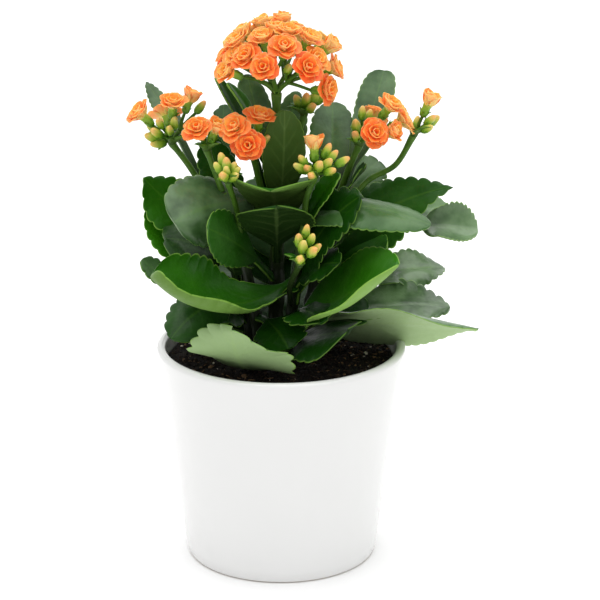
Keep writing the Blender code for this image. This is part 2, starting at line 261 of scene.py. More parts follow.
# --------------------------------------
# Soil: a moist peat mix, filled in loose to a finger's width below the lip. The bed is one lumpy
# body; crumbs, bark fibres and a few pale grains lie on it.

SOIL_EDGE = 107.0
SOIL_CROWN = 109.0
SOIL_RADIUS = 58.4
SOIL_FOOT = 7.0
SOIL_LIP = 3.0
SOIL_FOOT_RADIUS = 43.0
BED_RINGS = 74
BED_SIDES = 150
LUMP_OCTAVES = 6
WIDEST_LUMP = 11.4
HIGHEST_LUMP = 0.62
CRUMBS = 4200
CRUMB_REACH = 57.3
LARGEST_CRUMB = 3.0
LUMP_DENTS = (0.7, 1.25)
LUMP_STRETCHES = (0.6, 1.25)
GRAINS = 46
GRAIN_SIZES = (0.9, 2.0)
FIBRES = 260
FIBRE_LENGTHS = (1.5, 5.0)
FIBRE_SHADES = (0.7, 0.92, 1.0)
FIBRE_POINTS = 16
LITTER_REACH = 55
soil_chance = np.random.default_rng(7)


def crumble(x, y):
    """Height of the lumps at (x, y): octaves of crossed sine waves, each finer, lower and turned
    further than the last."""
    height = 0.0
    for octave in range(LUMP_OCTAVES):
        turn = 1.3 * octave + 0.4
        pitch = WIDEST_LUMP * 1.75 ** -octave
        along = (x * np.cos(turn) + y * np.sin(turn)) / pitch
        across = (y * np.cos(turn) - x * np.sin(turn)) / pitch
        wave = np.sin(along * TAU + octave) * np.sin(across * TAU)
        height = height + HIGHEST_LUMP * 0.72 ** octave * wave
    return height


def soil_height(x, y):
    """The bed's height: a low crown that falls to the edge by the square of the radius."""
    share = (x * x + y * y) / SOIL_RADIUS ** 2
    return SOIL_CROWN - (SOIL_CROWN - SOIL_EDGE) * share + crumble(x, y) * (1 - share ** 6)


def soil_rings():
    """Rings from the middle of the top out to the edge, and down the side to the foot."""
    top = np.linspace(MIDDLE, SOIL_RADIUS, BED_RINGS)
    radius = np.concatenate((top, [SOIL_RADIUS, SOIL_FOOT_RADIUS, MIDDLE]))
    rings = turned(np.column_stack((radius, radius * 0)), BED_SIDES)
    rings[..., 2] = soil_height(rings[..., 0], rings[..., 1])
    rings[-3, :, 2] = SOIL_EDGE - SOIL_LIP
    rings[-2:, :, 2] = SOIL_FOOT
    return rings[::-1]


def soil_finish():
    """Near-black peat with brown and tan flecks, matte, and rough at the scale of a grain."""
    soil = Finish("potting_soil", Specular_IOR_Level=0.25)
    fleck = soil.noise(900, detail=4, roughness=0.7)
    cloud = soil.noise(130, detail=3)
    own = soil.mark("shade")
    colour = soil.mix(soil.step(cloud, 0.35, 0.7), tone(11, 9, 8), tone(28, 21, 16))
    colour = soil.mix(soil.step(fleck, 0.56, 0.72), colour, tone(66, 50, 36))
    colour = soil.mix(soil.step(own, 0.3, 0.85), colour, tone(48, 36, 26))
    colour = soil.mix(soil.step(own, 0.9, 0.96), colour, tone(112, 88, 62))
    soil.feed(
        Base_Color=soil.mix(soil.step(own, 1.4, 1.6), colour, tone(205, 198, 182)),
        Roughness=0.78 + fleck * 0.2,
        Normal=soil.bump(fleck + cloud, 0.9 * MM),
    )
    return soil


def scattered(count, reach):
    """count places (x, y) spread evenly over a disc."""
    turn = soil_chance.uniform(0, TAU, count)
    radius = reach * np.sqrt(soil_chance.uniform(0, 1, count))
    return radius * np.cos(turn), radius * np.sin(turn)


# A twenty-sided lump of radius 1.
LUMP_POINTS = np.array([
    (0, 0, 1), (0.9, 0, 0.45), (0.28, 0.85, 0.45), (-0.72, 0.53, 0.45), (-0.72, -0.53, 0.45),
    (0.28, -0.85, 0.45), (0.72, 0.53, -0.45), (-0.28, 0.85, -0.45), (-0.9, 0, -0.45),
    (-0.28, -0.85, -0.45), (0.72, -0.53, -0.45), (0, 0, -1),
])
LUMP_FACES = np.array([
    (0, 1, 2), (0, 2, 3), (0, 3, 4), (0, 4, 5), (0, 5, 1), (1, 6, 2), (2, 7, 3), (3, 8, 4),
    (4, 9, 5), (5, 10, 1), (6, 7, 2), (7, 8, 3), (8, 9, 4), (9, 10, 5), (10, 6, 1),
    (11, 7, 6), (11, 8, 7), (11, 9, 8), (11, 10, 9), (11, 6, 10),
])


def lumps(x, y, size, sink):
    """Twenty-sided lumps of about that size at (x, y): each point is pushed in or out by chance,
    each lump is stretched by chance along its axes and turned about Z, and sunk by sink."""
    count = len(x)
    shape = LUMP_POINTS * soil_chance.uniform(*LUMP_DENTS, (count, len(LUMP_POINTS), 1))
    shape = shape * size * soil_chance.uniform(*LUMP_STRETCHES, (count, 1, 3)) / 2
    turn = soil_chance.uniform(0, TAU, (count, 1))
    east = shape[..., 0] * np.cos(turn) - shape[..., 1] * np.sin(turn) + x[:, None]
    north = shape[..., 0] * np.sin(turn) + shape[..., 1] * np.cos(turn) + y[:, None]
    up = shape[..., 2] * 0.8 + (soil_height(x, y) - sink)[:, None]
    faces = (LUMP_FACES + len(LUMP_POINTS) * np.arange(count)[:, None, None]).reshape(-1, 3)
    return np.stack((east, north, up), -1), faces.tolist()


def add_soil_piece(name, points, faces, shade):
    """One piece of the soil, with how light each of its points is."""
    piece = add_piece(name, points * MM, faces, potting, shade=shade)
    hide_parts("soil")


potting = soil_finish()
bed_rings = soil_rings()
bed_faces = ring_faces(len(bed_rings), BED_SIDES)
add_soil_piece("soil_bed", bed_rings, bed_faces, np.zeros(bed_rings.shape[:2]))

crumb_size = soil_chance.uniform(0.5, 1.0, (CRUMBS, 1, 1)) ** 3 * LARGEST_CRUMB
crumb_points, crumb_faces = lumps(*scattered(CRUMBS, CRUMB_REACH), crumb_size, 0.1)
crumb_shade = np.repeat(soil_chance.uniform(0, 1, CRUMBS), len(LUMP_POINTS))
add_soil_piece("soil_crumbs", crumb_points, crumb_faces, crumb_shade)

grain_size = soil_chance.uniform(*GRAIN_SIZES, (GRAINS, 1, 1))
grain_points, grain_faces = lumps(*scattered(GRAINS, LITTER_REACH), grain_size, 0.0)
grain_shade = np.full(GRAINS * len(LUMP_POINTS), 2.0)
add_soil_piece("soil_grains", grain_points, grain_faces, grain_shade)


def fibres():
    """Bark fibres: four-sided spindles that lie on the bed, thin at both ends."""
    x, y = scattered(FIBRES, LITTER_REACH)
    turn = soil_chance.uniform(0, TAU, FIBRES)
    length = soil_chance.uniform(*FIBRE_LENGTHS, FIBRES)
    tilt = soil_chance.uniform(-0.25, 0.25, FIBRES)
    way = np.stack((np.cos(turn), np.sin(turn), tilt), -1)[:, None, None]
    side = np.stack((-np.sin(turn), np.cos(turn), 0 * turn), -1)[:, None, None]
    along = np.array((-0.5, -0.2, 0.2, 0.5))[:, None, None]
    thick = np.array((0.05, 0.3, 0.3, 0.05))[:, None, None]
    corner = np.arange(4)[:, None] * TAU / 4
    round_points = side * thick * np.cos(corner) + np.array((0, 0, 1)) * thick * np.sin(corner)
    start = np.stack((x, y, soil_height(x, y) + 0.5), -1)[:, None, None]
    points = start + way * along * length[:, None, None, None] + round_points
    one = np.array([[0, 1, 5, 4], [1, 2, 6, 5], [2, 3, 7, 6], [3, 0, 4, 7]])
    one = np.vstack([one + 4 * i for i in range(3)] + [[[3, 2, 1, 0]], [[12, 13, 14, 15]]])
    return points, (one + FIBRE_POINTS * np.arange(FIBRES)[:, None, None]).reshape(-1, 4).tolist()


fibre_points, fibre_faces = fibres()
fibre_shade = np.repeat(soil_chance.choice(FIBRE_SHADES, FIBRES), FIBRE_POINTS)
add_soil_piece("soil_fibres", fibre_points, fibre_faces, fibre_shade)


# --------------------------------------
# Shoots: five fleshy green stems that rise from the soil, swollen at the nodes where the leaves
# grow out, and thinner towards the top.

# Name, the points that the stem grows through, radius at the foot and at the top.
SHOOTS = {
    "shoot_main": (((-4, 3, 83), (-3, 2, 120), (-2, 1, 160), (-2, 0, 200)), 4.6, 3.0),
    "shoot_left": (((-13, 7, 83), (-16, 8, 120), (-26, 11, 160), (-40, 14, 194)), 3.6, 2.0),
    "shoot_front_left": (((-10, -8, 83), (-12, -9, 125), (-19, -11, 165), (-29, -12, 199)), 3.4, 1.9),
    "shoot_right": (((10, 5, 83), (13, 5, 120), (20, 4, 160), (30, 2, 195)), 3.6, 2.0),
    "shoot_front": (((4, -11, 83), (5, -14, 125), (8, -20, 160), (12, -25, 186)), 3.2, 1.8),
}
SHOOT_RINGS = 90
SHOOT_SIDES = 20
# A node's swelling: how much it adds to the radius, how far it spreads, and how many nodes that
# lie close together can add up.
NODE_SWELL = 0.55
NODE_SPREAD = 3.0
NODE_LIMIT = 1.2

# Name, shoot, height on it, place of the tip, how far the midrib's middle stands above and beside
# the line from foot to tip, the stalk's share of the length, width, where along the blade it is
# widest, cup of the two sides, roll about the midrib at the foot and at the tip, wave of the
# margins, how light the green is (0 to 1), which is partly the leaf's own green and partly painted
# light and shade, low for leaves in the shaded heart of the plant and high for leaves that light
# comes through, and how strong the pale bloom on it is (0 to 1), which is partly wax and partly
# painted sheen. One number for the cups or for the rolls stands for both.
LEAVES = (
    ("front_low", "front_left", 108, (-24, -60, 142), (-9, 0),
     0.25, 56, 0.45, (4, 20), (0, 4), 2, 0.45, 0.75),
    ("front_left_bowl", "front", 155, (-64, -44, 166), (-12, -8),
     0.05, 53, 0.8, (76, 50), (28, 20), 1, 0.6, 0),
    ("left_low", "left", 133, (-56, -22, 124), (8, 0),
     0.2, 32, 0.5, (-20, -30), (20, 30), 1, 0.2, 0.1),
    ("left_edge", "left", 144, (-70, 8, 184), (-5, 0),
     0.2, 19, 0.5, 10, (45, 60), 1.2, 0.95, 0),
    ("left_sliver", "left", 134, (-73, 12, 156), (-5, 0),
     0.3, 20, 0.6, 15, 20, 1, 0.3, 0.3),
    ("left_upper", "left", 172, (-71, 10, 201), (-3, 0),
     0.2, 33, 0.35, (-12, 8), 46, 1.1, 0.5, 0),
    ("left_glossy", "main", 188, (-53, -34, 190), (6, 0),
     0.2, 40, 0.64, (-52, -10), (36, 52), 0.45, 0.12, 0.6),
    ("front_upper", "main", 172, (-4, -46, 210), (8, 0),
     0.12, 46, 0.7, 34, 0, 0.4, 0.45, 0),
    ("front_curl", "main", 160, (-2, -48, 202), (5, 0),
     0.2, 40, 0.66, (-35, 10), (-12, -8), 0.5, 0.05, 0),
    ("front_centre", "main", 150, (-36, -42, 189), (3, 0),
     0.32, 28, 0.62, (-15, 6), (66, 74), 0.5, 0.42, 0.12),
    ("left_mid", "left", 152, (-59, -10, 174), (4, 0),
     0.2, 36, 0.55, (-15, -5), (30, 36), 1.5, 0.05, 0.18),
    ("centre_erect", "main", 186, (2, -11, 242), (-2, 0),
     0.12, 23, 0.55, -15, (0, 8), 0.5, 0.3, 0),
    ("back_right_tall", "right", 186, (54, 46, 249), (3, 3),
     0.3, 20, 0.68, (40, 25), (-20, -10), 0.4, 0.25, 0.5),
    ("back_right", "right", 173, (51, 38, 202), (5, 0),
     0.3, 23, 0.6, 10, -35, 1.5, 0.3, 0.45),
    ("right_upper", "right", 158, (88, 0, 199), (7, 0),
     0.04, 46, 0.24, (-12, 0), (-58, -40), 1, 0.28, 0.04),
    ("right_arched", "front", 134, (75, -34, 188), (36, 2),
     0.42, 33, 0.6, (-20, -30), (-20, -12), 0.8, 0.4, 0.42),
    ("right_far", "right", 166, (102, 8, 173), (6, 0),
     0.64, 27, 0.55, 60, (-40, -44), 1, 0.3, 1),
    ("right_behind", "right", 168, (90, 46, 174), (6, 0),
     0.6, 17, 0.6, 5, -35, 1.5, 0.25, 0.8),
    ("right_mid", "right", 148, (54, -18, 172), (3, 0),
     0.3, 26, 0.6, 5, (-35, -30), 1.2, 0.75, 0),
    ("right_small", "right", 156, (62, 36, 164), (4, 0),
     0.5, 16, 0.6, 5, -20, 1, 0.4, 1),
    ("right_front", "front", 136, (58, -56, 175), (-3, 0),
     0.08, 48, 0.5, (16, 66), (-46, -38), 0.7, 1, 0.08),
    ("right_back_low", "right", 137, (86, 30, 146), (5, 0),
     0.4, 25, 0.55, 5, -30, 2.2, 0.25, 1),
    ("right_low", "right", 126, (88, 0, 134), (4, 0),
     0.2, 30, 0.5, (30, 22), -22, 2.2, 0.25, 1),
    ("right_lowest", "right", 120, (101, -22, 129), (5, 0),
     0.1, 50, 0.34, (-14, -24), (46, 36), 0.9, 0.8, 1),
    ("front_dark", "front_left", 132, (4, -38, 124), (4, 0),
     0.3, 28, 0.6, 5, -20, 1.5, 0.1, 0),
    ("front_right_low", "front", 122, (34, -46, 136), (0, 0),
     0.15, 44, 0.5, (-20, -15), (-22, -18), 0.8, 0.02, 0),
    ("centre_serrated", "front", 152, (30, -46, 172), (4, 0),
     0.15, 22, 0.5, 5, -42, 1.8, 0.02, 0),
    ("back_left_tall", "left", 184, (-71, 50, 242), (4, 0),
     0.5, 12, 0.42, 15, 20, 1, 0.2, 0.6),
    ("back_left_small", "left", 176, (-30, 46, 231), (3, 0),
     0.3, 16, 0.55, 10, 0, 1, 0.1, 0.2),
    ("back_left_dark", "main", 187, (-18, 34, 250), (3, 0),
     0.3, 18, 0.6, 10, 0, 0.5, 0.1, 0.3),
    ("under_head_dark", "main", 180, (-33, 12, 254), (4, 0),
     0.4, 13, 0.6, 30, 0, 1, 0.3, 0),
    ("under_head_bright", "main", 199, (-27, 6, 252), (5, 0),
     0.4, 11, 0.6, 20, 5, 1, 0.9, 0),
    ("left_inner", "front_left", 168, (-38, 16, 220), (3, 0),
     0.12, 22, 0.6, 10, 10, 1, 0.1, 0),
    ("right_inner", "right", 183, (27, 42, 233), (3, 0),
     0.2, 24, 0.6, 10, 0, 0.4, 0.15, 0.4),
    ("right_inner_dark", "right", 180, (42, -17, 213), (3, 0),
     0.2, 20, 0.6, 10, -30, 1.5, 0.05, 0),
    ("front_bract", "front", 178, (30, -22, 212), (3, 0),
     0.3, 13, 0.55, 30, -30, 1, 0.7, 0),
    ("back_low_left", "left", 120, (-52, 60, 134), (8, 0),
     0.06, 56, 0.36, 10, 0, 1.2, 0.08, 0),
    ("back_low_middle", "main", 114, (-8, 68, 124), (9, 0),
     0.05, 66, 0.34, 10, 0, 1.2, 0.08, 0),
    ("back_low_right", "right", 118, (44, 60, 130), (8, 0),
     0.06, 56, 0.36, 10, 0, 1.2, 0.08, 0),
    ("back_middle_left", "left", 148, (-44, 64, 176), (8, 0),
     0.12, 46, 0.5, 15, 0, 1.5, 0.1, 0.1),
    ("back_middle", "main", 150, (4, 64, 186), (8, 0),
     0.12, 52, 0.5, 15, 0, 1.5, 0.1, 0.1),
    ("back_upper", "main", 172, (8, 38, 240), (4, 0),
     0.12, 20, 0.55, 15, 0, 0.5, 0.1, 0.35),
    ("front_dark.upper", "main", 138, (-6, -34, 148), (5, 0),
     0.2, 28, 0.55, 10, -10, 1.2, 0.05, 0),
    ("front_dark.side", "front", 134, (20, -44, 140), (5, 0),
     0.2, 28, 0.55, 10, -16, 1.2, 0.08, 0),
    ("left_low.inner", "left", 124, (-40, -8, 130), (5, 0),
     0.15, 30, 0.5, 10, 20, 1.2, 0.05, 0),
    ("right_lowest.inner", "right", 122, (46, -6, 130), (5, 0),
     0.15, 32, 0.5, 10, -20, 1.2, 0.05, 0),
    ("left_mid.inner", "left", 146, (-28, -20, 168), (3, 0),
     0.2, 24, 0.55, 10, 20, 1.2, 0.05, 0),
    ("right_mid.inner", "right", 150, (30, -22, 176), (3, 0),
     0.2, 26, 0.55, 10, -30, 1.2, 0.05, 0),
    ("back_middle.front", "main", 140, (2, 34, 166), (4, 0),
     0.1, 44, 0.5, 10, 0, 1.2, 0.05, 0),
    ("right_arched.inner", "front", 142, (40, -34, 203), (8, 0),
     0.08, 36, 0.55, 12, (-46, -50), 1.6, 0.05, 0),
)


def smooth_path(points, count):
    """count points, evenly spaced in parameter, on a Catmull-Rom curve through the given ones."""
    known = np.array(points, float)
    known = np.vstack((2 * known[0] - known[1], known, 2 * known[-1] - known[-2]))
    at = np.linspace(0, len(points) - 1, count)
    span = np.minimum(at.astype(int), len(points) - 2)
    t = (at - span)[:, None]
    a, b, c, d = (known[span + i] for i in range(4))
    curve = 2 * b + (c - a) * t + (2 * a - 5 * b + 4 * c - d) * t**2
    return (curve + (3 * b - a - 3 * c + d) * t**3) / 2


def unit(vectors):
    """The vectors, each divided by its length."""
    return vectors / np.linalg.norm(vectors, axis=-1, keepdims=True)


def tube(path, radius, sides):
    """Rings of a round stem: each point of the path, plus its radius round two crosswise vectors."""
    way = unit(np.gradient(path, axis=0))
    side = unit(np.cross(way, (0.21, 0.98, 0.05)))
    up = np.cross(way, side)
    turn = (np.arange(sides) / sides * TAU)[:, None]
    radius = np.broadcast_to(radius, len(path))[:, None, None]
    return path[:, None] + radius * (np.cos(turn) * side[:, None] + np.sin(turn) * up[:, None])


def stem_finish():
    """Soft green stem skin: cloudy between two greens, with a near-black painted shade near the soil.
    """
    stem = Finish("stem_green", Roughness=0.45, Specular_IOR_Level=0.25)
    height = stem.node("SeparateXYZ", {}, {"Vector": stem.place()}, "Z")
    streak = stem.noise(240, detail=3)
    lighter_green = stem.mix(streak, tone(44, 84, 16), tone(92, 132, 40))
    # Low on the stem: a near-black green, painted shade under the leaves.
    painted_shade_green = stem.mix(streak, tone(10, 18, 6), tone(28, 38, 14))
    stem.feed(
        Base_Color=stem.mix(stem.step(height, 0.15, 0.21), painted_shade_green, lighter_green),
        Normal=stem.bump(streak, 0.25 * MM),
    )
    return stem


stem_skin = stem_finish()
for name, (points, foot_radius, top_radius) in SHOOTS.items():
    path = smooth_path(points, SHOOT_RINGS)
    radius = np.linspace(foot_radius, top_radius, SHOOT_RINGS)
    heights = np.array([height for _, shoot, height, *_ in LEAVES if "shoot_" + shoot == name])
    node = np.exp(-(((path[:, 2] - heights[:, None]) / NODE_SPREAD) ** 2)).sum(0)
    rings = tube(path, radius + NODE_SWELL * np.minimum(node, NODE_LIMIT), SHOOT_SIDES)
    faces = ring_faces(SHOOT_RINGS, SHOOT_SIDES)
    stem = add_piece(name.replace("shoot", "stem"), rings * MM, faces, stem_skin)
    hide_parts(name)


# --------------------------------------
# Leaves: thick fleshy blades with a scalloped margin on short grooved stalks. The upper face is a
# deep green with a waxy sheen, partly from its gloss and partly painted sheen in its colour, the
# lower one is paler, and the margin is a thin yellowish line.

LEAF_STATIONS = 110
LEAF_ACROSS = 21
PETIOLE_HALF = 2.1
PETIOLE_THICK = 3.4
BLADE_THICK = 1.7
LEAST_HALF = 0.35
KEEL_DEPTH = 0.9
GROOVE_DEPTH = 0.7
RIB_WIDTH = 1.6
FULLNESS = 1.15
SCALLOP_DEPTH = 2.4
SCALLOP_LENGTH = 6.5
SCALLOP_CHANCE = (0.6, 1.3)
# Height of a margin's waves on a leaf 40 mm wide, and how many of them a margin has.
WAVE_HEIGHTS = (1.0, 2.2)
WAVE_COUNTS = (1.1, 1.9)
# How deep a leaf's foot is sunk into its stem.
LEAF_SINK = 0.6
leaf_chance = np.random.default_rng(21)


def shoot_at(name, height):
    """Centre and radius of a shoot at a height."""
    points, foot_radius, top_radius = SHOOTS[name]
    path = smooth_path(points, SHOOT_RINGS)
    centre = np.array([np.interp(height, path[:, 2], path[:, axis]) for axis in range(3)])
    share = np.interp(height, path[:, 2], np.linspace(0, 1, SHOOT_RINGS))
    return centre, foot_radius + (top_radius - foot_radius) * share


def midrib(start, tip, bow, roll, s):
    """Places, directions, side vectors and upward vectors along the parabola from start to tip
    whose middle stands bow above and beside the line between them. The side vectors turn about
    it, evenly from one roll to the other."""
    chord = unit(tip - start)
    level_side = unit(np.cross(chord, (0, 0, 1)))
    above = np.cross(level_side, chord)
    middle = (start + tip) / 2 + 2 * bow[0] * above + 2 * bow[1] * level_side
    s = s[:, None]
    place = (1 - s) ** 2 * start + 2 * s * (1 - s) * middle + s * s * tip
    way = unit((1 - s) * (middle - start) + s * (tip - middle))
    foot_roll, tip_roll = np.broadcast_to(roll, 2)
    turn = np.radians(foot_roll + (tip_roll - foot_roll) * s)
    side = np.cos(turn) * level_side + np.sin(turn) * above
    side = unit(side - way * (way * side).sum(-1, keepdims=True))
    return place, way, side, np.cross(side, way)


def blade_outline(u, widest):
    """The blade's width as a share of the widest: a power of u up to it, and of 1 - u past it."""
    rise = (u / widest) ** (FULLNESS * widest)
    return rise * ((1 - u) / (1 - widest)) ** (FULLNESS * (1 - widest))


def scallops(u, length, phase):
    """Rounded teeth with sharp notches between them, along the outer two thirds of the margin."""
    teeth = max(3, round(length / SCALLOP_LENGTH))
    wave = np.abs(np.sin(np.pi * (teeth * u ** 1.1 + phase))) ** 0.55
    return (wave - 0.75) * np.clip((u - 0.22) / 0.2, 0, 1) * np.clip((1 - u) / 0.04, 0, 1)


def across_ring(count):
    """Places across a section, -1 to 1 over the top and back below, and 1 for those below."""
    top = np.sin(np.linspace(-1, 1, count) * np.pi / 2 * 0.92) / np.sin(np.pi / 2 * 0.92)
    return np.concatenate((top, top[-2:0:-1])), np.concatenate((0 * top, 0 * top[-2:0:-1] + 1))


def leaf_rings(start, tip, bow, stalk, width, widest, cups, roll, wave):
    """A leaf's rings. Each half of a section is an arc whose end stands at its cup's angle, with
    waves that grow with the square of the distance from the midrib, a groove and a keel."""
    t = np.linspace(0, 1, LEAF_STATIONS)
    s = 1 - (1 - t) ** 1.5
    place, _, side, up = midrib(start, tip, bow, roll, s)
    length = np.linalg.norm(tip - start)
    u = np.clip((s - stalk) / (1 - stalk), 0, 1)
    v, under = across_ring(LEAF_ACROSS)
    left = v < 0
    half = np.hypot(PETIOLE_HALF * (1 - u) ** 2, width / 2 * blade_outline(u, widest))
    phase = leaf_chance.uniform(0, 1, 2)
    depth = SCALLOP_DEPTH * leaf_chance.uniform(*SCALLOP_CHANCE) * min(1, width / 30) * min(1.4, wave)
    left_teeth, right_teeth = (scallops(u, length, start)[:, None] for start in phase)
    teeth = np.where(left, left_teeth, right_teeth)
    half = np.maximum(half, LEAST_HALF)[:, None] + depth * teeth * v**4
    cup = np.radians(np.where(left, *np.broadcast_to(cups, 2)))
    bend = cup * np.minimum(1, 4 * u)[:, None] + 0.0001
    level = half * np.sin(bend * v) / bend
    lift = half * (1 - np.cos(bend * v)) / bend
    ripple = wave * leaf_chance.uniform(*WAVE_HEIGHTS, 2) * width / 40
    count = leaf_chance.uniform(*WAVE_COUNTS, 2)
    shift = leaf_chance.uniform(0, 1, 2)
    waves = ripple * np.sin(TAU * (count * u[:, None] + shift)) * np.clip(3 * u[:, None], 0, 1)
    lift = lift + v**2 * np.where(left, waves[:, :1], waves[:, 1:])
    thick = BLADE_THICK + (PETIOLE_THICK - BLADE_THICK) * (1 - u) ** 8
    thick = thick[:, None] * np.minimum(1, half / 2.2) * np.sqrt(np.clip(1 - v**4, 0, 1)) / 2
    rib = np.exp(-((v * half / RIB_WIDTH) ** 2)) * (np.clip(u * 4, 0, 1) * np.sqrt(1 - u))[:, None]
    offset = np.where(under > 0, -thick - KEEL_DEPTH * rib, thick - GROOVE_DEPTH * rib)
    level = level - offset * np.sin(bend * v)
    lift = lift + offset * np.cos(bend * v)
    rings = place[:, None] + side[:, None] * level[..., None] + up[:, None] * lift[..., None]
    return rings, u, v, under


def leaf_finish():
    """Leaf skin: a cloudy green with a waxy bloom that is partly painted sheen, a paler midrib and
    margin, and faint veins that fan forward from the midrib. How light the green is, leaf by leaf,
    is partly its own and partly painted light and shade, and towards the foot it is darker, partly
    its own deeper green and partly painted shade. The lower face is duller, and pale where the
    bloom is strong."""
    leaf = Finish("leaf_green", IOR=1.45, Specular_IOR_Level=0.1, Coat_Roughness=0.25)
    along, across = leaf.mark("along"), leaf.mark("across").math("ABSOLUTE")
    under, bright, bloom = leaf.mark("under"), leaf.mark("bright"), leaf.mark("bloom")
    cloud, quilt = leaf.noise(70, detail=3), leaf.noise(260, detail=2)
    fan = (along - across * 0.3 + cloud * 0.22) * 5.5
    vein = ((fan * TAU).math("COSINE") * 0.5 + 0.5) ** 9 * (1 - leaf.step(across, 0.3, 0.85))
    rib = 1 - leaf.step(across, 0.015, 0.08)
    # Each leaf's green runs from deep to lighter by its mark: partly the leaf's own green, partly
    # painted light and shade, near black in the shaded heart of the plant and yellow-green where light
    # comes through.
    deep = leaf.mix(cloud, tone(5, 28, 2), tone(20, 66, 6))
    lighter_green = leaf.mix(cloud, tone(28, 90, 4), tone(58, 128, 10))
    upper = leaf.mix(bright, deep, lighter_green)
    # The pale bloom on the upper face, in cloudy patches: partly the leaf's wax, partly painted sheen.
    upper = leaf.mix(bloom * (0.15 + leaf.step(cloud, 0.3, 0.7) * 0.85), upper, tone(112, 142, 98))
    upper = leaf.mix(rib * 0.14 + vein * 0.025, upper, tone(96, 144, 46))
    lower = leaf.mix(bright, tone(14, 40, 8), tone(120, 160, 70))
    lower = leaf.mix(bloom * (0.8 + cloud * 0.2), lower, tone(164, 190, 138))
    lower = leaf.mix(rib * 0.14 + vein * 0.08, lower, tone(150, 180, 104))
    edge = leaf.step(across, 0.95, 0.99)
    colour = leaf.mix(under, upper, lower)
    # Darker towards the foot of the blade: partly the leaf's own deeper green, partly painted shade
    # under the leaves above.
    colour = leaf.mix((1 - leaf.step(along, 0.0, 0.6)) * 0.52, colour, tone(6, 24, 4))
    leaf.feed(
        Base_Color=leaf.mix(edge * (0.3 + bright * 0.45), colour, tone(140, 184, 74)),
        Roughness=0.34 + under * 0.15 + quilt * 0.14,
        Coat_Weight=0.04 + bloom * 0.9 * (1 - under) + bright * 0.12,
        Normal=leaf.bump(cloud * 0.9 + quilt * 0.4 - vein * 0.06, 0.9 * MM),
    )
    return leaf


leaf_skin = leaf_finish()
for name, shoot, height, tip, *shape, bright, bloom in LEAVES:
    stem_centre, stem_radius = shoot_at("shoot_" + shoot, height)
    tip = np.array(tip, float)
    out = unit((tip - stem_centre) * (1, 1, 0))
    start = stem_centre + out * (stem_radius - LEAF_SINK)
    rings, u, v, under = leaf_rings(start, tip, *shape)
    blank = np.zeros(rings.shape[:2])
    leaf = add_piece(
        "blade_" + name, rings[:, ::-1] * MM, ring_faces(LEAF_STATIONS, len(v)), leaf_skin,
        along=blank + u[:, None], across=blank + v[::-1], under=blank + under[::-1],
        bright=blank + bright, bloom=blank + bloom,
    )
    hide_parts("leaf_" + name.split(".")[0])


# --------------------------------------
# Sprays: flower stalks that fork into branches and thin pedicels, each with a flower, an opening
# flower or a bud. A flower is a rosette of petals in four whorls on a fleshy tube, which four small
# pointed sepals clasp.

